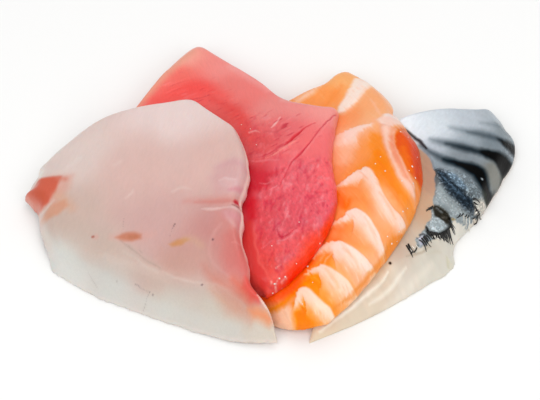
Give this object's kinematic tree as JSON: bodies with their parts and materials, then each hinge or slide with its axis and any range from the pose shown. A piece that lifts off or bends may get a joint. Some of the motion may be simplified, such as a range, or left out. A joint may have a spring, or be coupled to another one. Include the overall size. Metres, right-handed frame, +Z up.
{
  "type": "assorted sashimi slices",
  "caption": "Fan of overlapping raw fish slices for a sashimi serving: pale white fish, red tuna, marbled salmon and silver-skinned mackerel, without a plate.",
  "frame": {"origin": "on the ground under the middle of the fan's box", "axes": "+X to the right along the fan's width, from the white fish to the mackerel; +Y away from the narrow ends of the slices; +Z up"},
  "size_m": [0.1106, 0.0818, 0.0161],
  "materials": {
    "white_fish_flesh": "wet, translucent pale pinkish flesh with a grey-white skinned side",
    "tuna_flesh": "wet, finely grained pink-red flesh",
    "salmon_flesh": "wet orange flesh with pale bands of fat",
    "mackerel_flesh": "wet cream flesh under silver-blue skin with dark wavy stripes"
  },
  "bodies": {
    "root": {"white_fish_slice": "white_fish_flesh", "tuna_slice": "tuna_flesh", "salmon_slice": "salmon_flesh", "mackerel_slice": "mackerel_flesh"}
  },
  "joints": []
}
